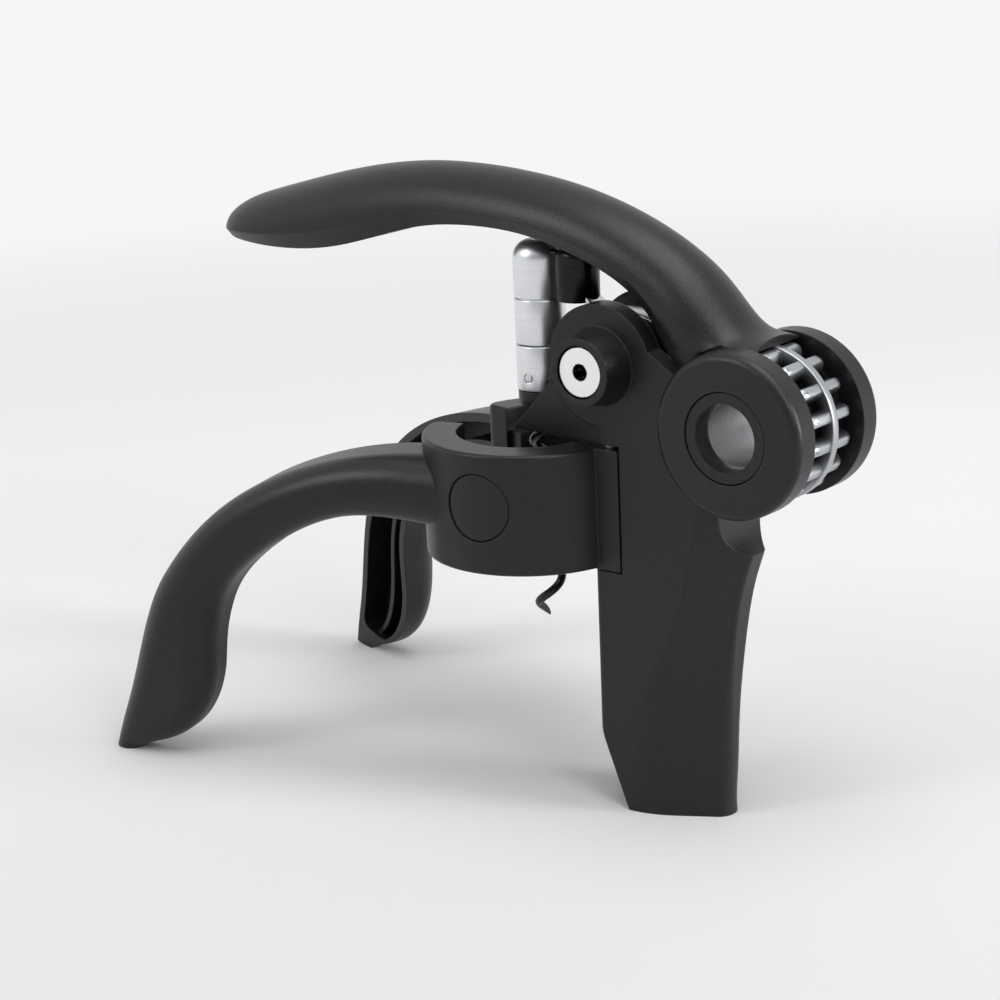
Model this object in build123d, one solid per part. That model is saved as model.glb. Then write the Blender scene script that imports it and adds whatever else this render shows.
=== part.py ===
from build123d import *
import os
from math import acos, atan2, cos, degrees, hypot, pi, radians, sin, tan

# A lever corkscrew that stands on two grips and a column.
# Millimetres. X runs from the grips back to the drum, Z up from the table,
# and the worm's axis is the Z axis. The near side is -Y, the far side its mirror.

# Clearances
run_fit = 0.06          # a turning or sliding piece round its pin, on the radius
seat_fit = 0.02         # a fixed pin in its hole, on the radius
body_gap = 0.4          # air between pieces that move past each other
groove = 0.3            # shadow line round an inset piece

# Drum, gear and rack
drum_x = 70.0           # worm axis to drum axis
drum_z = 106.8          # table to drum axis
teeth = 16
gear_module = 2.25
addendum = 2.0
dedendum = 2.4
pressure_angle = 20.0
backlash = 0.3
row_width = 8.1         # each of the two rows of teeth
web_width = 1.8         # ring between the rows
axle_r = 10.5
axle_bore_r = 8.2
lever_swing = 155.0     # degrees from folded down to folded back

# End caps of the drum
cap_r = 21.0
cap_face_y = 19.0
cap_rim_y = 16.7        # where the rim turns into the face
cap_back_y = 11.2
ring_r = 11.35
ring_bore_r = 8.6
ring_depth = 5.4

# Column, cheeks and ears
cheek_y = 13.0          # outer face, half the body's width
ear_inner_y = 7.6
ear_x = 28.4
ear_z = 119.0
ear_r = 15.9
cheek_r = 15.0          # cheek's round end about the drum axis
flap_x = -2.5           # front corner of the flaps beside the nut
flap_top = (10.8, 112.2)
flap_toe_y = 10.0       # the flaps narrow to this at their front
bridge_x = 15.5         # front of the bridge that joins the flaps
bridge_top = 104.0
rear_facet = 3.0        # half the width of the flat down the column's back
scoop_r = 8.5           # hollow in the column under the drum
scoop_z = 80.5
web_half = 3.4          # rib between the two knuckles
boss_y = 21.5
boss_r = 8.7
boss_base_r = 10.2

# Jaws: half collars with their grips
hinge_x = 28.5
hinge_y = 8.5
hinge_pin_r = 2.0
jaw_open = 10.0         # degrees each jaw stands open
collar_r = 28.5
collar_bore_r = 19.5
collar_edge = 1.0
collar_end_round = 3.0   # upright edge at its front end
collar_low = 65.2
collar_top = 97.3
collar_end = 181.0      # angle of a half collar's front end when closed
knuckle_back = 4.7      # knuckle behind the hinge pin
knuckle_inner_y = 4.6
liner_bore_r = 15.0
liner_low = 70.0
liner_top = 91.0
badge_r = 8.8
badge_depth = 2.6       # at the middle, where the collar bulges most
badge_turn = -82.0
badge_z = 83.0
grip_turn = -130.0      # where the grip leaves the collar
grip_splay = 15.8       # degrees outwards from straight ahead
grip_outer = 6.6        # from the splay plane to the grip's outer face
grip_round = 10.0
grip_wall = 2.5
grip_skin = 4.0         # outer wall behind the hollow
grip_rib = 1.8
rib_back = 2.0          # the rib stops this far short of the rim
hollow_round = 3.0
grip_foot = 5.0         # the hollow ends this far above the table

# Worm, nut and carriage
worm_pitch = 15.0
worm_tip_z = 44.2
worm_turn = 122.0       # where the point stands about the axis
point_slant = 60.0
wire_r = 1.15
worm_r = 3.15           # to the middle of the wire
stack_r = 6.75          # nut, housing and head
stack_edge = 0.35       # bevel at the seams between them
head_clear = 2.0        # head below the lever's underside
head_tall = 15.6
housing_tall = 13.4
nut_tall = 11.3
seat_tall = 4.1
seat_r = 6.3
head_long = 13.25       # between the centres of the head's round ends
head_round = 4.5
hub_r = 5.2
washer_thick = 1.0
arm_half = 5.0
arm_rise = 0.6          # its top over the head's underside
rack_half = 7.2
rack_back = 3.9         # bar behind the teeth

# Tie bolt through the ears
bolt_r = 3.0
bolt_head_r = 6.3
bolt_head = 2.0
bolt_groove = 0.55      # shadow line round its head
socket_flats = 4.0
socket_deep = 3.0
barrel_r = 4.2
sleeve_r = 4.4
buffer_r = 5.1

# Values that follow from those
pitch_r = gear_module * teeth / 2
tip_r = pitch_r + addendum
root_r = pitch_r - dedendum
tooth_pitch = pi * gear_module
gear_half = web_width / 2 + row_width
cheek_inner_y = gear_half + body_gap
lever_root_half = cap_back_y - body_gap
travel = pitch_r * radians(lever_swing)
pitch_line_x = drum_x - pitch_r
rack_root_x = pitch_line_x - dedendum
window_back = hinge_x + knuckle_back + 0.6
window_low = collar_low - body_gap
window_top = collar_top + 1.3
bore_r = worm_r + wire_r + groove


def side_plate(points, half):
    """A profile in X and Z, as thick as twice half, centred on Y."""
    return extrude(Plane.XZ * make_face(Polyline(*points, close=True)), half, both=True)


def cross_rod(x, z, radius, low_y, high_y):
    """A rod along Y."""
    return extrude(Plane.XZ.offset(-low_y) * Pos(x, z) * Circle(radius), low_y - high_y)


def post(x, y, radius, low_z, high_z):
    """A rod along Z."""
    return extrude(Plane.XY.offset(low_z) * Pos(x, y) * Circle(radius), high_z - low_z)


def slab(low, high):
    """A box between two corners."""
    size = [b - a for a, b in zip(low, high)]
    return Pos(*low) * Box(*size, align=(Align.MIN, Align.MIN, Align.MIN))


def far_side(piece):
    """The same piece on the far side."""
    return mirror(piece, about=Plane.XZ)


def turned(x, y, angle):
    """A plan point turned about the worm axis."""
    a = radians(angle)
    return x * cos(a) - y * sin(a), x * sin(a) + y * cos(a)


def round_drum(radius, angle):
    """The point at a radius and an angle about the drum axis."""
    return drum_x + radius * cos(radians(angle)), drum_z + radius * sin(radians(angle))


# crown and underside of the handle from the drum axis, then half widths at the crease and below
lever_sections = (
    ((-179.6, 38.7), (-179.0, 36.0), 3.6, 3.0),
    ((-177.6, 40.5), (-176.4, 34.8), 7.0, 5.8),
    ((-172.0, 43.8), (-169.5, 33.6), 10.8, 8.8),
    ((-159.0, 48.0), (-155.0, 33.0), 13.0, 10.5),
    ((-136.0, 53.8), (-132.0, 35.0), 13.5, 10.5),
    ((-106.0, 58.4), (-104.0, 42.2), 13.0, 10.2),
    ((-80.0, 58.1), (-82.0, 44.2), 12.5, 10.0),
    ((-54.0, 54.2), (-59.0, 41.7), 12.2, 10.0),
    ((-32.0, 46.6), (-41.0, 35.2), 12.2, 10.0),
    ((-17.0, 37.6), (-27.0, 24.6), 12.2, 10.0),
    ((-8.2, 28.8), (-16.2, 14.0), 12.2, 10.6),
    ((-2.6, 23.4), (-4.4, 18.6), 11.6, 11.2),
    ((3.6, 22.2), (3.0, 18.6), 11.2, 11.2),
)
over_worm = 7           # the section that the head stands under

# heights of the stack round the worm, from the lever down
head_top = drum_z + lever_sections[over_worm][1][1] - head_clear
head_low = head_top - head_tall
housing_low = head_low - housing_tall
nut_top = housing_low - body_gap
nut_low = nut_top - nut_tall
seat_low = nut_low - seat_tall


# Body frame

# heights of the column with the crease where its side turns, its back, and how round these two corners are
column_sections = (
    (0.0, 40.0, 58.2, 28.0, 4.8),
    (12.0, 40.2, 58.5, 25.0, 4.2),
    (24.0, 41.0, 59.0, 20.0, 3.6),
    (34.0, 42.8, 59.6, 13.0, 2.8),
    (44.0, 46.2, 60.6, 7.0, 2.0),
    (54.0, 50.2, 62.0, 3.5, 1.5),
    (64.0, 53.2, 64.2, 2.0, 1.5),
    (74.0, 55.4, 67.6, 1.5, 1.5),
    (84.0, 57.4, 70.0, 1.5, 1.5),
    (92.0, 59.0, 71.5, 1.5, 1.5),
)
column_front = 24.8
column_edge = 2.0       # rounding of the front edges
toe_tall = 23.0         # the foot slants back from its front below this
toe_run = 9.0


def column():
    layers = []
    for height, crease, back, soft, round_back in column_sections:
        near = [(column_front, -cheek_y), (crease, -cheek_y), (back, -rear_facet)]
        outline = make_face(Polyline(*near, *[(x, -y) for x, y in reversed(near)], close=True))
        for place, radius in ((column_front, column_edge), (crease, soft), (back, round_back)):
            corners = [v for v in outline.vertices() if abs(v.X - place) < 0.01]
            outline = fillet(corners, radius)
        layers.append(Plane.XY.offset(height) * outline)
    toe = [(column_front - 1, 0), (column_front + toe_run, 0), (column_front, toe_tall), (column_front - 1, toe_tall)]
    return loft(layers) - side_plate(toe, cheek_y + 1)


def cheeks():
    slope = atan2(drum_z + 6.8 - ear_z, drum_x - 10.0 - ear_x) + radians(14.5)
    shoulder = (ear_x - ear_r * sin(slope), ear_z + ear_r * cos(slope))
    tail = (drum_x - 10.0, drum_z + 6.8)
    low = drum_z - cap_r
    outline = [
        (flap_x, window_top),
        flap_top,
        (ear_x - ear_r, ear_z),
        (ear_x, ear_z),
        shoulder,
        tail,
        (drum_x - 10.0, low),
        (window_back, low),
        (window_back, window_top),
    ]
    plate = side_plate(outline, cheek_y)
    plate += cross_rod(ear_x, ear_z, ear_r, -cheek_y, cheek_y)
    plate += cross_rod(drum_x, drum_z, cheek_r, -cheek_y, cheek_y)
    return plate


def boss():
    ear = Plane.XZ.offset(cheek_y) * Pos(ear_x, ear_z)
    face = Plane.XZ.offset(boss_y) * Pos(ear_x, ear_z)
    return loft([ear * Circle(boss_base_r), face * Circle(boss_r)])


def flap_taper():
    wedge = [(ear_x, cheek_y + 1), (flap_x - 1, cheek_y + 1), (flap_x - 1, flap_toe_y), (ear_x, cheek_y)]
    sketch = Plane.XY.offset(window_top) * make_face(Polyline(*wedge, close=True))
    return extrude(sketch, flap_top[1] + 1 - window_top)


def body_frame():
    body = column() + cheeks()
    knuckle_window = slab(
        (0, -cheek_y - 1, window_low), (window_back, -web_half, window_top)
    )
    taper = flap_taper() - cross_rod(ear_x, ear_z, ear_r, 0, cheek_y + 1)
    for cut in (knuckle_window, far_side(taper)):
        body -= cut
        body -= far_side(cut)
    body += boss()
    body += far_side(boss())
    # channel for the carriage, open to the front, and the slot that the rack runs in
    body -= slab((flap_x - 1, -ear_inner_y, bridge_top), (drum_x, ear_inner_y, ear_z + 2 * ear_r))
    body -= slab((flap_x - 1, -ear_inner_y, window_low), (bridge_x, ear_inner_y, bridge_top + 1))
    rack_low = rack_end() - body_gap
    slot_front = rack_root_x - rack_back - run_fit
    slot_back = pitch_line_x + addendum + body_gap
    body -= slab((slot_front, -ear_inner_y, rack_low), (slot_back, ear_inner_y, bridge_top + 1))
    # room for the gear, and the scoop behind it that the lever's root swings into
    body -= cross_rod(drum_x, drum_z, tip_r + 2 * body_gap, -cheek_inner_y, cheek_inner_y)
    body -= cross_rod(drum_x, scoop_z, scoop_r, -cap_back_y, cap_back_y)
    body -= slab((drum_x - scoop_r, -cap_back_y, scoop_z), (drum_x + cap_r, cap_back_y, drum_z - root_r))
    # holes for the axle, the tie bolt and the hinge pins
    body -= cross_rod(drum_x, drum_z, axle_r + seat_fit, -cheek_y - 1, cheek_y + 1)
    body -= cross_rod(ear_x, ear_z, bolt_r + seat_fit, -boss_y - 1, boss_y + 1)
    body -= cross_rod(ear_x, ear_z, barrel_r + seat_fit, cheek_y, boss_y)
    recess = cross_rod(ear_x, ear_z, bolt_head_r + bolt_groove, -boss_y - 1, 0.5 + bolt_head - boss_y)
    pin_hole = hinge_pin(seat_fit)
    for cut in (recess, pin_hole):
        body -= cut
        body -= far_side(cut)
    return body


def hinge_pin(extra=0.0):
    return post(hinge_x, -hinge_y, hinge_pin_r + extra, window_low - 7 - extra, window_top + 4 + extra)


def end_cap(body):
    """Cap over the near end of the drum, seated on the cheek."""
    inner = axle_r + seat_fit
    step = ring_r + groove
    turn = cap_face_y - cap_rim_y
    shoulder = (cap_r - turn, 0.3 - cap_face_y)
    rim = (cap_r, -cap_rim_y)
    floor = ring_depth - cap_face_y
    profile = make_face([
        Line((inner, -cap_back_y), (cap_r, -cap_back_y)),
        Line((cap_r, -cap_back_y), rim),
        ThreePointArc(rim, (cap_r - 0.3 * turn, 0.3 - cap_rim_y - 0.7 * turn), shoulder),
        Line(shoulder, (step, -cap_face_y)),
        Line((step, -cap_face_y), (step, floor)),
        Line((step, floor), (inner, floor)),
        Line((inner, floor), (inner, -cap_back_y)),
    ])
    cap = Pos(drum_x, 0, drum_z) * revolve(profile, Axis.Y)
    return cap - body


def axle_tube():
    half = cap_face_y - ring_depth
    tube = cross_rod(drum_x, drum_z, axle_r, -half, half)
    return tube - cross_rod(drum_x, drum_z, axle_bore_r, -half - 1, half + 1)


def axle_ring():
    low = groove - cap_face_y
    high = ring_depth - cap_face_y
    ring = cross_rod(drum_x, drum_z, ring_r, low, high)
    return ring - cross_rod(drum_x, drum_z, ring_bore_r, low - 1, high + 1)


def tie_bolt():
    face = 0.5 - boss_y
    bolt = cross_rod(ear_x, ear_z, bolt_head_r, face, face + bolt_head)
    bolt += cross_rod(ear_x, ear_z, bolt_r, face, -face - bolt_head)
    socket = Plane.XZ.offset(-face) * Pos(ear_x, ear_z) * RegularPolygon(socket_flats / 2, 6, major_radius=False)
    return bolt - extrude(socket, -socket_deep)


def tie_nut():
    face = boss_y - 0.5
    nut = cross_rod(ear_x, ear_z, bolt_head_r, face - bolt_head, face)
    nut += cross_rod(ear_x, ear_z, barrel_r, cheek_y, face)
    nut -= cross_rod(ear_x, ear_z, bolt_r + seat_fit, cheek_y - 1, face - bolt_head)
    socket = Plane.XZ.offset(-face) * Pos(ear_x, ear_z) * RegularPolygon(socket_flats / 2, 6, major_radius=False)
    return nut - extrude(socket, bolt_head * 0.8)


def tie_sleeve():
    sleeve = cross_rod(ear_x, ear_z, sleeve_r, -ear_inner_y, ear_inner_y)
    return sleeve - cross_rod(ear_x, ear_z, bolt_r + seat_fit, -boss_y, boss_y)


def stop_buffer():
    ring = cross_rod(ear_x, ear_z, buffer_r, -arm_half, arm_half)
    return ring - cross_rod(ear_x, ear_z, sleeve_r + seat_fit, -boss_y, boss_y)


def guide_nut():
    nut = chamfer(post(0, 0, stack_r, nut_low, nut_top).edges().filter_by(GeomType.CIRCLE), stack_edge)
    return nut - post(0, 0, bore_r, nut_low - 1, nut_top + 1)


def nut_seat():
    """Black seat under the nut, held between the flaps."""
    seat = post(0, 0, seat_r, seat_low, nut_low)
    seat += slab((0, -ear_inner_y, seat_low), (bridge_x, ear_inner_y, nut_low)) - slab(
        (0, -ear_inner_y, seat_low), (flap_x + 4.0, ear_inner_y, nut_low)
    )
    seat += slab((0, 1 - seat_r, seat_low), (flap_x + 4.0, seat_r - 1, nut_low))
    return seat - post(0, 0, bore_r, seat_low - 1, nut_low + 1)


# Lever

crease_share = 0.26     # height of the crease on the side, of the section's height
tongue_turn = 120.0     # the pinion's tongue about the drum axis
tongue_reach = 36.0
tongue_thick = 8.0
tongue_half = 4.0


def lever_section(crown, under, half, low_half):
    rise = (crown[0] - under[0], crown[1] - under[1])
    height = hypot(*rise)
    up = (rise[0] / height, rise[1] / height)
    place = Plane(
        origin=(drum_x + under[0], 0, drum_z + under[1]), x_dir=(0, 1, 0), z_dir=(up[1], 0, -up[0])
    )
    crease = crease_share * height
    edges = [
        Line((-low_half, 0), (low_half, 0)),
        Line((low_half, 0), (half, crease)),
        ThreePointArc((half, crease), (0, height), (-half, crease)),
        Line((-half, crease), (-low_half, 0)),
    ]
    return place * make_face(edges)


def tongue(extra=0.0):
    """Bar of the pinion that the handle is fixed on."""
    reach = tongue_reach + extra
    bar = slab(
        (root_r - 1.0, -tongue_half - extra, -tongue_thick / 2 - extra),
        (reach, tongue_half + extra, tongue_thick / 2 + extra),
    )
    return Pos(drum_x, 0, drum_z) * Rot(0, -tongue_turn, 0) * bar


def lever_slices(count=18):
    """Slices of the handle, close together towards its ends, between the given sections."""
    reach = [0.0]
    for one, other in zip(lever_sections, lever_sections[1:]):
        reach.append(reach[-1] + hypot(other[0][0] - one[0][0], other[0][1] - one[0][1]))
    at = [step / reach[-1] for step in reach]
    crown = Edge.make_spline([(x, half, z) for (x, z), _, half, _ in lever_sections], parameters=at)
    under = Edge.make_spline([(x, half, z) for _, (x, z), _, half in lever_sections], parameters=at)
    slices = []
    for step in range(count + 1):
        share = (1 - cos(pi * step / count)) / 2
        high = crown.position_at(share, position_mode=PositionMode.PARAMETER)
        low = under.position_at(share, position_mode=PositionMode.PARAMETER)
        slices.append(lever_section((high.X, high.Z), (low.X, low.Z), high.Y, low.Y))
    return slices


def lever_handle():
    handle = loft(lever_slices())
    handle -= cross_rod(drum_x, drum_z, tip_r + seat_fit, -cap_r, cap_r)
    # the saddle runs between the end caps
    beside_cap = cross_rod(drum_x, drum_z, cap_r + 1.5 * body_gap, -cap_r, -lever_root_half)
    handle -= beside_cap
    handle -= far_side(beside_cap)
    return handle - tongue(seat_fit)


def involute(angle):
    return tan(angle) - angle


def tooth_half_angle(radius, base_r):
    """Half the angle that a gear tooth fills at a radius."""
    at_pitch = (tooth_pitch / 2 - backlash) / (2 * pitch_r)
    slant = involute(radians(pressure_angle))
    return at_pitch + slant - involute(acos(min(1.0, base_r / radius)))


def gear_face():
    base_r = pitch_r * cos(radians(pressure_angle))
    flank = [base_r + (tip_r - base_r) * k / 4 for k in range(5)]
    points = []
    for tooth in range(teeth):
        middle = 2 * pi * (tooth + 0.5) / teeth
        rising = [(root_r, tooth_half_angle(base_r, base_r))]
        rising += [(r, tooth_half_angle(r, base_r)) for r in flank]
        points += [(r, middle - a) for r, a in rising]
        points += [(r, middle + a) for r, a in reversed(rising)]
    places = [(drum_x + r * cos(a), drum_z + r * sin(a)) for r, a in points]
    return make_face(Polyline(*places, close=True))


def pinion():
    rows = extrude(Plane.XZ * gear_face(), gear_half, both=True)
    rows += cross_rod(drum_x, drum_z, tip_r, -web_width / 2, web_width / 2)
    rows += tongue()
    return rows - cross_rod(drum_x, drum_z, axle_r + run_fit, -cap_r, cap_r)


# Carriage and worm


def rack_end():
    """Low end of the rack with the lever folded down."""
    return drum_z - travel - tooth_pitch


rack_top = 7.2          # above the drum axis


def carriage_head():
    ends = Circle(stack_r) + Pos(head_long, 0) * Circle(stack_r)
    ends += Pos(head_long / 2, 0) * Rectangle(head_long, 2 * stack_r)
    head = extrude(Plane.XY.offset(head_low) * ends, head_top - head_low)
    head = fillet(head.faces().sort_by(Axis.Z)[-1].edges(), head_round)
    head = chamfer(head.faces().sort_by(Axis.Z)[0].edges(), stack_edge)
    back = rack_root_x - body_gap / 2
    arm = [
        (head_long - 1.0, head_low + 3.0),
        (head_long + 4.0, head_low + 3.0),
        (head_long + stack_r + 0.5, head_low + arm_rise),
        (ear_x + 4.0, head_low + arm_rise),
        (ear_x + 10.6, ear_z + 10.6),
        (back - 4.6, drum_z + 16.4),
        (back, drum_z + 10.7),
        (back, drum_z + rack_top),
        (rack_root_x - rack_back, drum_z + rack_top),
        (rack_root_x - rack_back - 3.6, drum_z + 10.0),
        (ear_x + 7.6, ear_z + 3.0),
        (ear_x + 2.0, ear_z + buffer_r + body_gap),
        (ear_x - 4.0, ear_z + buffer_r + body_gap),
        (head_long + 4.5, head_low + stack_edge),
        (head_long - 1.0, head_low + stack_edge),
    ]
    return head + side_plate(arm, arm_half)


def worm_housing():
    housing = post(0, 0, stack_r, housing_low, head_low)
    housing = chamfer(housing.edges().filter_by(GeomType.CIRCLE), stack_edge)
    return housing - post(0, 0, hub_r + run_fit, housing_low - 1, head_low + 1)


def thrust_washer():
    return post(0, 0, hub_r, head_low - washer_thick, head_low)


def rack_tooth(middle):
    half = tooth_pitch / 4 - backlash / 2
    slant = tan(radians(pressure_angle))
    root = half + dedendum * slant
    tip = half - addendum * slant
    tip_x = pitch_line_x + addendum
    return [
        (rack_root_x, middle - root),
        (tip_x, middle - tip),
        (tip_x, middle + tip),
        (rack_root_x, middle + root),
    ]


def rack():
    low = rack_end()
    high = drum_z + rack_top
    outline = [(rack_root_x - rack_back, high), (rack_root_x - rack_back, low), (rack_root_x, low)]
    count = int((drum_z - low) / tooth_pitch)
    for step in range(-count, 1):
        outline += rack_tooth(drum_z + step * tooth_pitch)
    outline.append((rack_root_x, high))
    bar = side_plate(outline, rack_half)
    # groove that the ring between the gear's rows runs in
    half = web_width / 2 + body_gap
    return bar - slab((rack_root_x - body_gap, -half, low - 1), (drum_x, half, high + 1))


def worm():
    height = housing_low + 1.2 - worm_tip_z
    path = Pos(0, 0, worm_tip_z) * Rot(0, 0, worm_turn) * Helix(worm_pitch, height, worm_r)
    start = path.position_at(0)
    section = Plane(origin=start, z_dir=path.tangent_at(0)) * Circle(wire_r)
    wire = sweep(section, path=path, is_frenet=True)
    # the point is ground off at a slant
    place = Plane(origin=start, z_dir=path.tangent_at(0))
    away = Pos(0, 0, wire_r * tan(radians(point_slant))) * Rot(0, point_slant, 0)
    return wire - place * away * Pos(0, 0, -3 * wire_r) * Box(6 * wire_r, 6 * wire_r, 6 * wire_r)


def worm_hub():
    return post(0, 0, hub_r, housing_low + body_gap, head_low - washer_thick - body_gap)


# Jaws

# middle of the half collar with the jaw standing open
open_x, open_y = turned(-hinge_x, hinge_y, jaw_open)
open_x += hinge_x
open_y -= hinge_y

# grip from where it leaves the collar: crown and heel, how far out and how high, then the outer face
grip_sections = (
    ((-10.0, 93.2), (-10.0, 71.5), grip_outer),
    ((12.0, 92.0), (10.0, 74.7), grip_outer),
    ((32.0, 88.2), (24.0, 74.2), grip_outer),
    ((53.0, 79.6), (40.8, 67.8), grip_outer),
    ((69.2, 67.7), (55.7, 57.4), grip_outer),
    ((80.7, 54.6), (64.4, 45.5), grip_outer),
    ((88.2, 40.0), (67.4, 32.0), grip_outer),
    ((93.1, 24.5), (68.8, 20.8), 0.92 * grip_outer),
    ((96.4, 15.0), (74.4, 10.2), 0.76 * grip_outer),
    ((99.2, 8.0), (83.8, 4.0), 0.56 * grip_outer),
    ((101.8, 0.6), (94.5, -0.6), 0.26 * grip_outer),
)
grip_inner = 4.6        # from the splay plane to the rim that faces the other grip, at the table
grip_lean = 0.088       # the rim comes in by this for each millimetre up
rib_share = 0.56        # place of the rib between crown and heel


def collar_point(radius, angle):
    return open_x + radius * cos(radians(angle)), open_y + radius * sin(radians(angle))


def sector(radius, first, last):
    """A wedge about the open collar's middle."""
    steps = 4
    rim = [collar_point(radius, first + (last - first) * k / steps) for k in range(steps + 1)]
    return make_face(Polyline((open_x, open_y), *rim, close=True))


def half_ring(outer, inner, first, last, low, high):
    middle = Pos(open_x, open_y)
    flat = (middle * Circle(outer) - middle * Circle(inner)) & sector(2 * outer, first, last)
    return extrude(Plane.XY.offset(low) * flat, high - low)


def grip_place():
    """Upright plane along the grip: out from the collar, up, and in towards the other grip."""
    out = (-cos(radians(grip_splay)), -sin(radians(grip_splay)), 0)
    return Plane(origin=(*collar_point(collar_r, grip_turn), 0), x_dir=out, z_dir=(out[1], -out[0], 0))


def grip_section(crown, heel, outer):
    """A slice across the grip, flat towards the other grip and rounded outwards."""
    across = (heel[0] - crown[0], heel[1] - crown[1])
    width = hypot(*across)
    run = (across[0] / width, across[1] / width, 0)
    inner = grip_inner + grip_lean * crown[1]
    place = Plane(origin=(*crown, inner), x_dir=run, z_dir=(-run[1], run[0], 0))
    thick = inner + outer
    drop = grip_lean * (crown[1] - heel[1])
    radius = min(grip_round, 0.62 * (thick - drop), 0.45 * width)
    side = thick - radius
    bend = radius * (1 - sin(radians(45)))
    edges = [
        Line((0, 0), (width, drop)),
        Line((width, drop), (width, side)),
        ThreePointArc((width, side), (width - bend, thick - bend), (width - radius, thick)),
        Line((width - radius, thick), (radius, thick)),
        ThreePointArc((radius, thick), (bend, thick - bend), (0, side)),
        Line((0, side), (0, 0)),
    ]
    return place * make_face(edges)


def along_grip(share, inset=0.0):
    """Points down the grip at a share of the way from crown to heel, then moved inwards."""
    points = []
    for crown, heel, _ in grip_sections[:-1]:
        width = hypot(heel[0] - crown[0], heel[1] - crown[1])
        part = share + inset / width
        points.append((crown[0] + part * (heel[0] - crown[0]), crown[1] + part * (heel[1] - crown[1])))
    return points


def strip(one, other):
    """The face between two rows of points."""
    edges = [Spline(*one), Line(one[-1], other[-1]), Spline(*other), Line(other[0], one[0])]
    return make_face(edges)


def grip():
    solid = loft([grip_section(*row) for row in grip_sections])
    low = grip_skin - grip_outer
    reach = 4 * grip_outer
    hollow = strip(along_grip(0.0, grip_wall), along_grip(1.0, -grip_wall))
    hollow = Pos(0, 0, low) * extrude(hollow, reach)
    hollow &= slab((0, grip_foot, low - 1), (2 * collar_top, 2 * collar_top, reach))
    floor_corners = hollow.edges().filter_by(Axis.Z).sort_by(Axis.Y)[:2]
    hollow = fillet(floor_corners, hollow_round)
    rib = strip(along_grip(rib_share, -grip_rib / 2), along_grip(rib_share, grip_rib / 2))
    rib = Pos(0, 0, low - 1) * extrude(rib, reach)
    hollow -= rib & (Pos(0, 0, -rib_back) * solid)
    solid -= hollow
    solid &= slab((-collar_r, 0, -reach), (2 * collar_top, 2 * collar_top, reach))
    return grip_place() * solid


def badge_rod(radius, low, high):
    """A rod that points out of the collar at the badge's place."""
    a = radians(badge_turn)
    place = Plane(origin=(open_x, open_y, badge_z), x_dir=(0, 0, 1), z_dir=(cos(a), sin(a), 0))
    return extrude(place.offset(low) * Circle(radius), high - low)


def jaw():
    front = collar_end - 360.0 + jaw_open
    back = -degrees(atan2(cheek_y + open_y, collar_r))
    piece = half_ring(collar_r, collar_bore_r, front, back, collar_low, collar_top)
    ends = [e for e in piece.edges().filter_by(Axis.Z) if e.center().X < open_x]
    tip = max(ends, key=lambda e: hypot(e.center().X - open_x, e.center().Y - open_y))
    piece = fillet(tip, collar_end_round)
    rims = [e for e in piece.edges().filter_by(GeomType.CIRCLE) if abs(e.radius - collar_r) < 0.01]
    piece = fillet(rims, collar_edge)
    knuckle = slab(
        (hinge_x - 10.0, -cheek_y, collar_low), (hinge_x + knuckle_back, -knuckle_inner_y, collar_top)
    )
    corner = knuckle.edges().filter_by(Axis.Z).sort_by(lambda e: e.center().X + e.center().Y)[-1]
    knuckle = fillet(corner, 3.0)
    piece += grip()
    piece += knuckle
    piece -= post(open_x, open_y, collar_bore_r, 0, collar_top + 1)
    piece -= post(hinge_x, -hinge_y, hinge_pin_r + run_fit, 0, collar_top + 1)
    return piece - badge_rod(badge_r + groove, collar_r - badge_depth, collar_r + 5)


def liner():
    front = collar_end - 360.0 + jaw_open + 4.0
    return half_ring(collar_bore_r - seat_fit, liner_bore_r, front, -32.0, liner_low, liner_top)


def badge():
    shell = post(open_x, open_y, collar_r - groove, collar_low, collar_top)
    return badge_rod(badge_r, collar_r - badge_depth, collar_r + 5) & shell


def build():
    frame = body_frame()
    near_cap = end_cap(frame)
    near_jaw, near_liner, near_badge = jaw(), liner(), badge()
    near_pin = hinge_pin()
    return {
        "body_frame": frame,
        "end_cap_near": near_cap,
        "end_cap_far": far_side(near_cap),
        "axle_tube": axle_tube(),
        "axle_ring_near": axle_ring(),
        "axle_ring_far": far_side(axle_ring()),
        "tie_bolt": tie_bolt(),
        "tie_nut": tie_nut(),
        "tie_sleeve": tie_sleeve(),
        "stop_buffer": stop_buffer(),
        "hinge_pin_near": near_pin,
        "hinge_pin_far": far_side(near_pin),
        "guide_nut": guide_nut(),
        "nut_seat": nut_seat(),
        "lever_handle": lever_handle(),
        "pinion": pinion(),
        "carriage_head": carriage_head(),
        "worm_housing": worm_housing(),
        "thrust_washer": thrust_washer(),
        "rack": rack(),
        "worm": worm(),
        "worm_hub": worm_hub(),
        "near_jaw": near_jaw,
        "near_liner": near_liner,
        "near_badge": near_badge,
        "far_jaw": far_side(near_jaw),
        "far_liner": far_side(near_liner),
        "far_badge": far_side(near_badge),
    }


os.makedirs("parts", exist_ok=True)
for name, piece in build().items():
    export_step(piece, f"parts/{name}.step")
    print(name, round(piece.volume), "mm3")
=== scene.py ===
import math
import bpy
from mathutils import Euler, Matrix, Vector


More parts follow.
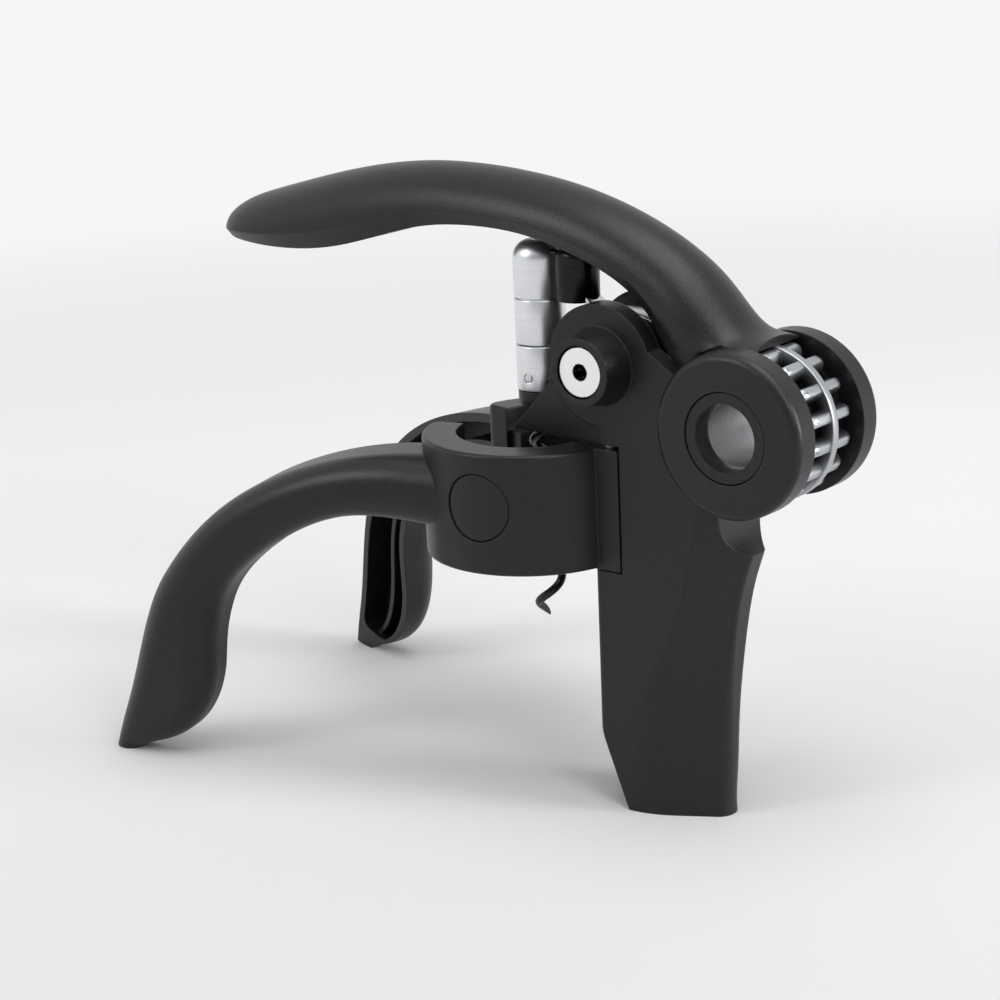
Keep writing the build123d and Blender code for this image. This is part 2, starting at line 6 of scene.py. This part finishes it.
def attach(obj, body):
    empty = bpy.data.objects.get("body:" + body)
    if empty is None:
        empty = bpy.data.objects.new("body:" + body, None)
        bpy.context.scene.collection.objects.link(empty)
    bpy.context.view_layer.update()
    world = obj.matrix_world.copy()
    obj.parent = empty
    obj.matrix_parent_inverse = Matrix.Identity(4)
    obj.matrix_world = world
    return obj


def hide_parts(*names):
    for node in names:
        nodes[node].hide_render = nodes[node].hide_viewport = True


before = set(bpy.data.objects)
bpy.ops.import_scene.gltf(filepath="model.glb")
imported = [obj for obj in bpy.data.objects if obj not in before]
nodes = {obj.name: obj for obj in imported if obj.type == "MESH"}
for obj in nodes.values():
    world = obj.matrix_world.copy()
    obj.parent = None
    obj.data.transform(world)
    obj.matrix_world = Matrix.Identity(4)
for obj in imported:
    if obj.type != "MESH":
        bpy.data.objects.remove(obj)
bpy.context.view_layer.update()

scene = bpy.context.scene
scene.view_settings.view_transform = "Standard"

# camera: read off the photograph, picture taken as 1000 x 1000
cameraSetup = {
    "azimuth": 39.5,
    "elevation": 15.89,
    "roll": -2.47,
    "distance": 0.700,
    "lookAt": (-0.01638, 0.0, 0.07419),
    "lens": 93.11,
    "sensor": 36.0,
    "clipFrom": 0.01,
}


def addCamera(setup):
    data = bpy.data.cameras.new("photoCamera")
    data.lens = setup["lens"]
    data.sensor_width = setup["sensor"]
    data.clip_start = setup["clipFrom"]
    camera = bpy.data.objects.new("photoCamera", data)
    scene.collection.objects.link(camera)
    tilt = math.radians(90 - setup["elevation"])
    facing = Euler((tilt, 0, math.radians(setup["azimuth"]))).to_matrix()
    facing = facing @ Matrix.Rotation(math.radians(setup["roll"]), 3, "Z")
    camera.rotation_euler = facing.to_euler()
    camera.location = Vector(setup["lookAt"]) + facing @ Vector((0, 0, setup["distance"]))
    scene.camera = camera


addCamera(cameraSetup)
print("camera placed")

# lights: a key from the right, a softbox overhead, a rim light behind right, a small one front left
lightSetup = {
    "key": {"place": (2.1, -0.95, 1.6), "aim": (0.0, 0.0, 0.08), "size": (0.8, 0.8), "power": 17.5},
    "overhead": {"place": (0.25, -0.10, 1.20), "aim": (0.0, 0.0, 0.08), "size": (0.9, 0.9),
                 "power": 8.3},
    "behindRight": {"place": (1.25, 0.45, 0.36), "aim": (0.05, 0.0, 0.08), "size": (0.4, 0.5),
                    "power": 13.0},
    "left": {"place": (-0.55, -0.95, 0.80), "aim": (-0.02, 0.0, 0.08), "size": (0.44, 0.44),
             "power": 3.9},
}


def addLight(name, setup):
    data = bpy.data.lights.new(name, "AREA")
    data.shape = "RECTANGLE"
    data.size, data.size_y = setup["size"]
    data.energy = setup["power"]
    lamp = bpy.data.objects.new(name, data)
    scene.collection.objects.link(lamp)
    lamp.location = setup["place"]
    aim = Vector(setup["aim"]) - Vector(setup["place"])
    lamp.rotation_euler = aim.to_track_quat("-Z", "Y").to_euler()


for name, setup in lightSetup.items():
    addLight(name, setup)
print("lights placed")


# shader nodes
def addNode(tree, kind, **settings):
    node = tree.nodes.new(kind)
    for key, value in settings.items():
        if key in node.inputs:
            node.inputs[key].default_value = value
        else:
            setattr(node, key, value)
    return node


def along(tree, vector, axis):  # how far a point lies along an axis
    node = addNode(tree, "ShaderNodeVectorMath", operation="DOT_PRODUCT")
    node.inputs[1].default_value = axis
    tree.links.new(vector, node.inputs[0])
    return node.outputs["Value"]


def reach(tree, vector):  # how far a point lies from the origin
    node = addNode(tree, "ShaderNodeVectorMath", operation="LENGTH")
    tree.links.new(vector, node.inputs[0])
    return node.outputs["Value"]


def twoValues(tree, operation, first, second):
    node = addNode(tree, "ShaderNodeMath", operation=operation)
    tree.links.new(first, node.inputs[0])
    tree.links.new(second, node.inputs[1])
    return node.outputs["Value"]


def span(tree, value, low, high, first=0.0, last=1.0, blend="LINEAR"):
    node = addNode(tree, "ShaderNodeMapRange", interpolation_type=blend)
    node.inputs["From Min"].default_value = first
    node.inputs["From Max"].default_value = last
    node.inputs["To Min"].default_value = low
    node.inputs["To Max"].default_value = high
    tree.links.new(value, node.inputs["Value"])
    return node.outputs["Result"]


def mixShaders(tree, share, first, second):
    node = addNode(tree, "ShaderNodeMixShader")
    tree.links.new(share, node.inputs["Fac"])
    tree.links.new(first, node.inputs[1])
    tree.links.new(second, node.inputs[2])
    return node.outputs["Shader"]


# the room: pale to the left and behind, dark on the camera's side
roomSetup = {
    "paleSide": (-0.55, 0.30, 0.60),
    "darkAt": -0.85,
    "paleAt": 0.6,
    "dark": 0.05,
    "pale": 0.58,
    "shown": 1.5,  # shiny surfaces see the pale side as white
    "tint": (0.97, 0.985, 1.0, 1),
    "backdrop": (0.92, 0.92, 0.92, 1),  # what the camera sees over the floor's edge
}


def addRoom(setup):
    world = bpy.data.worlds.new("studio")
    scene.world = world
    world.use_nodes = True
    tree = world.node_tree
    background = tree.nodes["Background"]
    background.inputs["Color"].default_value = setup["tint"]
    coords = addNode(tree, "ShaderNodeTexCoord")
    path = addNode(tree, "ShaderNodeLightPath")
    side = along(tree, coords.outputs["Generated"], setup["paleSide"])
    level = span(tree, side, setup["dark"], setup["pale"], setup["darkAt"], setup["paleAt"], "SMOOTHSTEP")
    shown = span(tree, path.outputs["Is Glossy Ray"], 1.0, setup["shown"])
    tree.links.new(twoValues(tree, "MULTIPLY", level, shown), background.inputs["Strength"])
    backdrop = addNode(tree, "ShaderNodeBackground", Color=setup["backdrop"])
    either = mixShaders(tree, path.outputs["Is Camera Ray"], background.outputs["Background"],
                        backdrop.outputs["Background"])
    tree.links.new(either, tree.nodes["World Output"].inputs["Surface"])


addRoom(roomSetup)
print("room lit")


# materials
def newMaterial(name):
    material = bpy.data.materials.new(name)
    material.use_nodes = True
    tree = material.node_tree
    return material, tree, tree.nodes["Principled BSDF"]


def objectCoords(tree, stretch=(1, 1, 1), middle=(0, 0, 0)):
    coords = addNode(tree, "ShaderNodeTexCoord")
    back = [-m * s for m, s in zip(middle, stretch)]
    mapping = addNode(tree, "ShaderNodeMapping", Location=back, Scale=stretch)
    tree.links.new(coords.outputs["Object"], mapping.inputs["Vector"])
    return mapping.outputs["Vector"]


def noise(tree, vector, scale, detail=3.0):
    node = addNode(tree, "ShaderNodeTexNoise", Scale=scale, Detail=detail)
    tree.links.new(vector, node.inputs["Vector"])
    return node.outputs["Fac"]


def ramp(tree, value, low, high, lowAt=0.0, highAt=1.0):
    node = addNode(tree, "ShaderNodeValToRGB")
    node.color_ramp.elements[0].position = lowAt
    node.color_ramp.elements[1].position = highAt
    node.color_ramp.elements[0].color = low
    node.color_ramp.elements[1].color = high
    tree.links.new(value, node.inputs["Fac"])
    return node.outputs["Color"]


def bumped(tree, shader, height, strength, depth, edge):
    bump = addNode(tree, "ShaderNodeBump", Strength=strength, Distance=depth)
    tree.links.new(height, bump.inputs["Height"])
    if edge:
        rounded = addNode(tree, "ShaderNodeBevel", samples=4, Radius=edge)
        tree.links.new(rounded.outputs["Normal"], bump.inputs["Normal"])
    tree.links.new(bump.outputs["Normal"], shader.inputs["Normal"])


def grained(name, dark, light, rough, grain, bump, depth, edge=0.0, stretch=(1, 1, 1)):
    material, tree, shader = newMaterial(name)
    fine = noise(tree, objectCoords(tree, stretch), grain)
    colour = ramp(tree, fine, dark, light, 0.3, 0.7)
    tree.links.new(colour, shader.inputs["Base Color"])
    tree.links.new(span(tree, fine, *rough), shader.inputs["Roughness"])
    bumped(tree, shader, fine, bump, depth, edge)
    return material, shader


def plasticMaterial(name, shine=0.35, depth=0.0001, **look):
    material, shader = grained(name, depth=depth, **look)
    shader.inputs["Specular IOR Level"].default_value = shine
    return material


def metalMaterial(name, depth=0.00005, **look):
    material, shader = grained(name, depth=depth, **look)
    shader.inputs["Metallic"].default_value = 1.0
    return material


def paintedShadeMetal(name, middle, radii, dark, light, rough, grain=900.0, bump=0.03, depth=0.00005,
                edge=0.0003):  # painted shade: metal that goes from dark to light away from an axis along Y
    material, tree, shader = newMaterial(name)
    away = reach(tree, objectCoords(tree, (1, 0, 1), middle))
    colour = ramp(tree, span(tree, away, 0.0, 1.0, *radii), dark, light)
    tree.links.new(colour, shader.inputs["Base Color"])
    flecks = noise(tree, objectCoords(tree), grain)
    tree.links.new(span(tree, flecks, *rough), shader.inputs["Roughness"])
    shader.inputs["Metallic"].default_value = 1.0
    bumped(tree, shader, flecks, bump, depth, edge)
    return material


charcoal = plasticMaterial(
    "charcoalMoulding", dark=(0.0033, 0.0036, 0.0041, 1), light=(0.0115, 0.0121, 0.0132, 1),
    rough=(0.30, 0.42), grain=2400.0, bump=0.60, edge=0.0006)
blackTrim = plasticMaterial(
    "smoothBlack", dark=(0.006, 0.006, 0.007, 1), light=(0.010, 0.010, 0.011, 1),
    rough=(0.30, 0.42), grain=1800.0, bump=0.08, edge=0.0002)
rubber = plasticMaterial(
    "softRubber", dark=(0.010, 0.010, 0.010, 1), light=(0.016, 0.016, 0.016, 1),
    rough=(0.65, 0.8), grain=1500.0, bump=0.2)
coated = plasticMaterial(
    "coatedWorm", dark=(0.008, 0.008, 0.010, 1), light=(0.014, 0.014, 0.017, 1),
    rough=(0.14, 0.22), grain=900.0, bump=0.03)
satin = metalMaterial(
    "satinPlate", dark=(0.58, 0.59, 0.61, 1), light=(0.68, 0.69, 0.71, 1),
    rough=(0.26, 0.36), grain=60.0, stretch=(60, 60, 1), bump=0.05, edge=0.0003)
turnedSatin = metalMaterial(
    "turnedSatin", dark=(0.72, 0.73, 0.75, 1), light=(0.82, 0.83, 0.85, 1),
    rough=(0.31, 0.37), grain=90.0, stretch=(1, 1, 90), bump=0.012)
# painted shade: a darkened copy of the turned satin, for the lobe that sits in the shade of the lever and
# ear and mirrors their dark
paintedShadeSatin = metalMaterial(
    "paintedShadeSatin", dark=(0.018, 0.018, 0.020, 1), light=(0.030, 0.030, 0.033, 1),
    rough=(0.26, 0.36), grain=90.0, stretch=(1, 1, 90), bump=0.012)
cast = metalMaterial(
    "dieCast", dark=(0.70, 0.71, 0.73, 1), light=(0.84, 0.85, 0.86, 1),
    rough=(0.18, 0.30), grain=700.0, bump=0.10, edge=0.0004)
turned = metalMaterial(
    "turnedSteel", dark=(0.42, 0.42, 0.43, 1), light=(0.56, 0.56, 0.57, 1),
    rough=(0.30, 0.42), grain=90.0, stretch=(1, 40, 1), bump=0.08)
gearMetalPaintedShade = paintedShadeMetal(  # painted shade: bright on the tips, dark down between the teeth where the core lies in shade
    "gearCastPaintedShade", middle=(0.070, 0.0, 0.1068), radii=(0.0158, 0.0192),
    dark=(0.022, 0.023, 0.025, 1), light=(0.44, 0.45, 0.47, 1), rough=(0.30, 0.40))
boltMetalPaintedShade = paintedShadeMetal(  # painted shade: bright disc with its socket painted dark as the shade in the recess
    "boltFacePaintedShade", middle=(0.0284, 0.0, 0.119), radii=(0.0021, 0.0024),
    dark=(0.02, 0.02, 0.02, 1), light=(0.90, 0.90, 0.90, 1), rough=(0.26, 0.36))
print("materials made")

# pinion, tie_bolt and tie_nut take metals with painted shade
nodeFinish = {
    "body_frame": charcoal, "end_cap_near": charcoal, "end_cap_far": charcoal,
    "axle_tube": turned, "axle_ring_near": blackTrim, "axle_ring_far": blackTrim,
    "tie_bolt": boltMetalPaintedShade, "tie_nut": boltMetalPaintedShade, "tie_sleeve": turned, "stop_buffer": rubber,
    "hinge_pin_near": turned, "hinge_pin_far": turned, "guide_nut": satin, "nut_seat": blackTrim,
    "lever_handle": charcoal, "pinion": gearMetalPaintedShade, "carriage_head": satin, "worm_housing": satin,
    "thrust_washer": turned, "rack": cast, "worm": coated, "worm_hub": turned,
    "near_jaw": charcoal, "near_liner": blackTrim, "near_badge": charcoal,
    "far_jaw": charcoal, "far_liner": blackTrim, "far_badge": charcoal,
}
for name, material in nodeFinish.items():
    nodes[name].data.materials.clear()
    nodes[name].data.materials.append(material)
print("nodes dressed")


# modelling: pieces are shaped in millimetres and brought to metres when finished
def clearSelection():
    if bpy.context.object and bpy.context.object.mode != "OBJECT":
        bpy.ops.object.mode_set(mode="OBJECT")
    bpy.ops.object.select_all(action="DESELECT")


def useOnly(piece):
    clearSelection()
    piece.select_set(True)
    bpy.context.view_layer.objects.active = piece


def applyPlace():
    bpy.ops.object.transform_apply(location=True, rotation=True, scale=True)


def namedPiece(name):
    applyPlace()
    bpy.context.object.name = name
    return bpy.context.object


def addRound(name, radius, low, high, at=(0, 0), axis="Z", sides=96):
    clearSelection()
    middle = (low + high) / 2
    place = (at[0], at[1], middle) if axis == "Z" else (at[0], middle, at[1])
    turn = (0, 0, 0) if axis == "Z" else (math.radians(90), 0, 0)
    bpy.ops.mesh.primitive_cylinder_add(vertices=sides, radius=radius, depth=high - low,
                                        location=place, rotation=turn)
    return namedPiece(name)


def addBlock(name, low, high):
    clearSelection()
    middle = [(a + b) / 2 for a, b in zip(low, high)]
    bpy.ops.mesh.primitive_cube_add(size=1, location=middle, scale=[b - a for a, b in zip(low, high)])
    return namedPiece(name)


def addPlate(name, outline, half):  # drawn in XZ by extruding one point, filled, then given its width
    clearSelection()
    bpy.ops.mesh.primitive_plane_add(size=1, location=(outline[0][0], -half, outline[0][1]))
    plate = namedPiece(name)
    scene.tool_settings.mesh_select_mode = (True, False, False)
    bpy.ops.object.mode_set(mode="EDIT")
    bpy.ops.mesh.select_all(action="SELECT")
    bpy.ops.mesh.merge(type="CENTER")
    for here, there in zip(outline, outline[1:]):
        step = (there[0] - here[0], 0, there[1] - here[1])
        bpy.ops.mesh.extrude_vertices_move(TRANSFORM_OT_translate={"value": step})
    bpy.ops.mesh.select_all(action="SELECT")
    bpy.ops.mesh.edge_face_add()
    bpy.ops.mesh.extrude_region_move(TRANSFORM_OT_translate={"value": (0, 2 * half, 0)})
    bpy.ops.mesh.select_all(action="SELECT")
    bpy.ops.mesh.normals_make_consistent(inside=False)
    bpy.ops.object.mode_set(mode="OBJECT")
    return plate


def unpickAll(piece):
    useOnly(piece)
    for group in (piece.data.vertices, piece.data.edges, piece.data.polygons):
        group.foreach_set("select", [False] * len(group))


def pickFaces(piece, test):
    unpickAll(piece)
    scene.tool_settings.mesh_select_mode = (False, False, True)
    for face in piece.data.polygons:
        face.select = test(face.center, face.normal)
    bpy.ops.object.mode_set(mode="EDIT")


def pickEdges(piece, test):
    unpickAll(piece)
    scene.tool_settings.mesh_select_mode = (False, True, False)
    points = piece.data.vertices
    for edge in piece.data.edges:
        first, second = (points[i].co for i in edge.vertices)
        if test(first, second):
            edge.select = True
            for i in edge.vertices:
                points[i].select = True
    bpy.ops.object.mode_set(mode="EDIT")


def soften(piece, test, width, segments=3):
    pickEdges(piece, test)
    bpy.ops.mesh.bevel(offset=width, segments=segments, affect="EDGES")
    bpy.ops.object.mode_set(mode="OBJECT")


def atLevel(first, second, level):
    return abs(first.z - level) < 0.01 and abs(second.z - level) < 0.01


def softenLevel(piece, level, width, segments=3):  # all edges that lie at one height
    soften(piece, lambda a, b: atLevel(a, b, level), width, segments)


def softenRim(piece, level, radius, width):  # the outer edge at one height
    soften(piece, lambda a, b: atLevel(a, b, level) and min(a.xy.length, b.xy.length) > radius - 0.1, width)


def hollowOut(piece, wall, axis=2):  # both end faces inset and joined by a bore
    pickFaces(piece, lambda centre, normal: abs(normal[axis]) > 0.99)
    bpy.ops.mesh.inset(thickness=wall)
    bpy.ops.mesh.bridge_edge_loops()
    bpy.ops.object.mode_set(mode="OBJECT")


def combine(piece, other, operation):
    useOnly(piece)
    step = piece.modifiers.new("combine", "BOOLEAN")
    step.operation = operation
    step.solver = "EXACT"
    step.object = other
    bpy.ops.object.modifier_apply(modifier=step.name)
    bpy.data.objects.remove(other)


def finishPiece(piece, setup, material, smooth=32):
    useOnly(piece)
    piece.scale = (0.001, 0.001, 0.001)
    applyPlace()
    bpy.ops.object.shade_smooth_by_angle(angle=math.radians(smooth))
    piece.data.materials.clear()
    piece.data.materials.append(material)
    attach(piece, setup["body"])
    if "standsFor" in setup:
        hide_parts(setup["standsFor"])
    clearSelection()


# gear drum: two rows of blunt-nosed teeth with a web between them
gearSetup = {
    "body": "lever", "slot": "cast_metal", "standsFor": "pinion",
    "axis": (70.0, 0.0, 106.8),
    "teeth": 16,
    "sides": 128,
    "core": 15.6, "bore": 10.56, "half": 9.0,
    "web": 20.0, "webBore": 13.0, "webHalf": 1.2, "webEdge": 0.3,
    "inner": 0.5,  # the teeth start inside the web
    "levels": ((14.9, 4.7, 8.65), (16.2, 4.1, 8.65), (17.3, 3.55, 8.6), (18.2, 3.05, 8.4),
               (18.8, 2.65, 7.9), (19.2, 2.25, 7.2), (19.4, 1.8, 6.3)),  # radius, width, length
    "nose": 1.0, "tipEdge": 0.25,
    "tongueFrom": 14.6, "tongueTo": 36.0, "tongueHalf": 3.9, "tongueEdge": 0.8, "tongueAt": 120.0,
}


def addTooth(setup):
    levels = setup["levels"]
    inner = setup["inner"]
    (low, wide, long), (high, nextWide, nextLong) = levels[:2]
    tooth = addBlock("gearTooth", (-wide / 2, inner, low), (wide / 2, inner + long, high))
    pickFaces(tooth, lambda centre, normal: normal.z > 0.9)
    bpy.ops.transform.resize(value=(nextWide / wide, nextLong / long, 1),
                             center_override=(0, inner, high))
    for (below, wide, long), (above, nextWide, nextLong) in zip(levels[1:], levels[2:]):
        bpy.ops.mesh.extrude_region_move(TRANSFORM_OT_translate={"value": (0, 0, above - below)})
        bpy.ops.transform.resize(value=(nextWide / wide, nextLong / long, 1),
                                 center_override=(0, inner, above))
    bpy.ops.object.mode_set(mode="OBJECT")
    soften(tooth, lambda a, b: abs(a.z - b.z) > 0.1 and min(a.y, b.y) > inner + 1, setup["nose"])
    top = levels[-1][0]
    soften(tooth, lambda a, b: min(a.z, b.z) > top - 0.01 and abs(a.y - b.y) > 1, setup["tipEdge"], 2)
    return tooth


def addTeeth(setup):
    tooth = addTooth(setup)
    teeth = []
    for row in (0, 180):
        for number in range(setup["teeth"]):
            copy = tooth.copy()
            copy.data = tooth.data.copy()
            scene.collection.objects.link(copy)
            around = 360.0 * (number + 0.5) / setup["teeth"]
            copy.rotation_euler = (Matrix.Rotation(math.radians(90 - around), 3, "Y")
                                   @ Matrix.Rotation(math.radians(row), 3, "Z")).to_euler()
            teeth.append(copy)
    bpy.data.objects.remove(tooth)
    clearSelection()
    for copy in teeth:
        copy.select_set(True)
    bpy.context.view_layer.objects.active = teeth[0]
    applyPlace()
    bpy.ops.object.join()
    return bpy.context.object


def addGearRing(name, radius, bore, half, sides):
    ring = addRound(name, radius, -half, half, axis="Y", sides=sides)
    hollowOut(ring, radius - bore, axis=1)
    return ring


def addTongue(setup):
    half = setup["tongueHalf"]
    tongue = addBlock("gearTongue", (setup["tongueFrom"], -half, -half), (setup["tongueTo"], half, half))
    soften(tongue, lambda a, b: abs(a.x - b.x) > 1, setup["tongueEdge"])
    tongue.rotation_euler = (0, -math.radians(setup["tongueAt"]), 0)
    useOnly(tongue)
    applyPlace()
    return tongue


def addGear(setup):
    teeth = addTeeth(setup)
    gear = addGearRing("gearDrum", setup["core"], setup["bore"], setup["half"], setup["sides"])
    web = addGearRing("gearWeb", setup["web"], setup["webBore"], setup["webHalf"], setup["sides"])
    rim = setup["web"] - 0.1
    soften(web, lambda a, b: min(a.xz.length, b.xz.length) > rim and abs(a.y - b.y) < 0.01,
           setup["webEdge"])
    tongue = addTongue(setup)
    for other in (web, teeth, tongue):
        combine(gear, other, "UNION")
    useOnly(gear)
    gear.location = setup["axis"]
    applyPlace()
    # the drum gets the gear metal with painted shade between the teeth
    finishPiece(gear, setup, gearMetalPaintedShade)


addGear(gearSetup)
print("gear drum made")

# the stack over the worm: head with its lobe and arm, housing, nut with its pin, seat
stackSetup = {
    "radius": 6.75,
    "sides": 128,
    "seam": 0.3,
    "edge": 0.3,
    "head": {"body": "carriage", "slot": "satin_metal", "standsFor": "carriage_head",
             "low": 132.2, "high": 147.2, "crown": 4.8, "step": 0.6},
    "lobe": {"body": "carriage", "slot": "cast_metal",
             "radius": 5.7, "at": 12.7, "low": 132.2, "high": 146.2, "crown": 2.6, "edge": 0.4,
             "neckFrom": 3.0, "neckHalf": 2.6, "neckLift": 0.05, "neckDrop": 1.0, "neckEdge": 1.2},
    "arm": {"body": "carriage", "slot": "satin_metal", "half": 3.2, "edge": 0.5,
            "outline": ((10.0, 136.0), (15.5, 136.0), (18.6, 132.6), (21.5, 131.5), (32.4, 131.5),
                        (39.0, 129.6), (44.8, 123.2), (49.4, 117.5), (49.4, 114.0), (45.7, 114.0),
                        (42.1, 116.8), (36.0, 122.0), (30.4, 124.5), (24.4, 124.5), (20.0, 129.5),
                        (16.6, 132.9), (10.0, 132.9))},
    "housing": {"body": "carriage", "slot": "satin_metal", "standsFor": "worm_housing",
                "low": 119.95, "high": 131.9, "bore": 5.4},
    "nut": {"body": "frame", "slot": "satin_metal", "standsFor": "guide_nut",
            "low": 107.7, "high": 119.65, "bore": 4.6},
    "pin": {"body": "frame", "slot": "satin_metal", "around": -86.0, "height": 111.2, "sides": 48,
            "radius": 1.1, "set": 1.2, "proud": 0.02, "edge": 0.12,
            "hole": 1.45, "deep": 0.5, "past": 1.0},
    "seat": {"body": "frame", "slot": "black_trim", "standsFor": "nut_seat",
             "low": 103.6, "high": 107.5, "radius": 6.5, "bore": 4.6,
             "blockFrom": 5.4, "blockTo": 12.0, "blockHalf": 7.5, "blockLift": 0.2, "blockTop": 2.2},
}


def addHead(stack):
    setup = stack["head"]
    head = addRound("stackHead", stack["radius"], setup["low"], setup["high"], sides=stack["sides"])
    pickFaces(head, lambda centre, normal: normal.z < -0.9)  # a step that closes the seam below
    bpy.ops.mesh.inset(thickness=setup["step"])
    bpy.ops.mesh.extrude_region_move(TRANSFORM_OT_translate={"value": (0, 0, -stack["seam"])})
    bpy.ops.object.mode_set(mode="OBJECT")
    softenLevel(head, setup["high"], setup["crown"], 12)
    softenRim(head, setup["low"], stack["radius"], stack["edge"])
    finishPiece(head, setup, turnedSatin)


def addLobe(setup):
    low, high, half = setup["low"], setup["high"], setup["neckHalf"]
    lobe = addRound("headLobe", setup["radius"], low, high, at=(setup["at"], 0))
    softenLevel(lobe, high, setup["crown"], 8)
    softenLevel(lobe, low, setup["edge"])
    neck = addBlock("headNeck", (setup["neckFrom"], -half, low + setup["neckLift"]),
                    (setup["at"], half, high - setup["neckDrop"]))
    soften(neck, lambda a, b: abs(a.x - b.x) > 1 and min(a.z, b.z) > low + 1, setup["neckEdge"], 4)
    combine(lobe, neck, "UNION")
    # the lobe gets the satin with painted shade
    finishPiece(lobe, setup, paintedShadeSatin)


def addArm(setup):
    arm = addPlate("rackArm", setup["outline"], setup["half"])
    soften(arm, lambda a, b: abs(a.y - b.y) < 0.01, setup["edge"])
    finishPiece(arm, setup, satin)


def addSleeve(name, stack, setup):
    radius = setup.get("radius", stack["radius"])
    sleeve = addRound(name, radius, setup["low"], setup["high"], sides=stack["sides"])
    hollowOut(sleeve, radius - setup["bore"])
    for level in (setup["low"], setup["high"]):
        softenRim(sleeve, level, radius, stack["edge"])
    return sleeve


def addPinRod(name, setup, radius, inner, outer):  # lies across the worm's axis
    rod = addRound(name, radius, inner, outer, sides=setup["sides"])
    softenLevel(rod, outer, setup["edge"])
    rod.matrix_world = (Matrix.Rotation(math.radians(setup["around"]), 4, "Z")
                        @ Matrix.Translation((0, 0, setup["height"]))
                        @ Matrix.Rotation(math.radians(90), 4, "Y"))
    useOnly(rod)
    applyPlace()
    return rod


def addPin(stack, nut):
    setup = stack["pin"]
    face = stack["radius"]
    hole = addPinRod("pinHole", setup, setup["hole"], face - setup["deep"], face + setup["past"])
    combine(nut, hole, "DIFFERENCE")
    pin = addPinRod("nutPin", setup, setup["radius"], face - setup["set"], face + setup["proud"])
    finishPiece(pin, setup, satin)


def addSeat(stack):
    setup = stack["seat"]
    low, half = setup["low"], setup["blockHalf"]
    seat = addSleeve("blackSeat", stack, setup)
    block = addBlock("seatBlock", (setup["blockFrom"], -half, low + setup["blockLift"]),
                     (setup["blockTo"], half, low + setup["blockTop"]))
    combine(seat, block, "UNION")
    finishPiece(seat, setup, blackTrim)


def addStack(stack):
    addHead(stack)
    addLobe(stack["lobe"])
    addArm(stack["arm"])
    housing = addSleeve("wormSleeve", stack, stack["housing"])
    finishPiece(housing, stack["housing"], turnedSatin)
    nut = addSleeve("guideSleeve", stack, stack["nut"])
    addPin(stack, nut)
    finishPiece(nut, stack["nut"], turnedSatin)
    addSeat(stack)


addStack(stackSetup)
print("stack made")

# floor: graded away from the camera, and fading to plain white all round
floorSetup = {
    "half": 8.0,
    "rough": 0.9,
    "shine": 0.1,
    "depthAxis": (-0.6361, 0.7716, 0.0),
    "near": (0.59, 0.59, 0.59, 1),
    "far": (0.76, 0.76, 0.76, 1),
    "white": (0.92, 0.92, 0.92, 1),
    "gradeFrom": -0.16,
    "gradeTo": 0.36,
    "whiteFrom": 0.30,
    "whiteTo": 0.95,
}


def addFloor(setup):
    clearSelection()
    bpy.ops.mesh.primitive_plane_add(size=2 * setup["half"], location=(0, 0, 0))
    floor = bpy.context.object
    floor.name = "floor"
    material, tree, shader = newMaterial("paleFloor")
    shader.inputs["Roughness"].default_value = setup["rough"]
    shader.inputs["Specular IOR Level"].default_value = setup["shine"]
    place = objectCoords(tree)
    depth = along(tree, place, setup["depthAxis"])
    grade = span(tree, depth, 0.0, 1.0, setup["gradeFrom"], setup["gradeTo"])
    tree.links.new(ramp(tree, grade, setup["near"], setup["far"]), shader.inputs["Base Color"])
    white = addNode(tree, "ShaderNodeEmission", Color=setup["white"])
    away = span(tree, reach(tree, place), 0.0, 1.0, setup["whiteFrom"], setup["whiteTo"])
    path = addNode(tree, "ShaderNodeLightPath")
    seen = path.outputs["Is Camera Ray"]
    for ray in ("Is Glossy Ray", "Is Transmission Ray"):
        seen = twoValues(tree, "MAXIMUM", seen, path.outputs[ray])
    share = twoValues(tree, "MULTIPLY", away, seen)
    faded = mixShaders(tree, share, shader.outputs["BSDF"], white.outputs["Emission"])
    tree.links.new(faded, tree.nodes["Material Output"].inputs["Surface"])
    floor.data.materials.append(material)


addFloor(floorSetup)
print("floor laid")
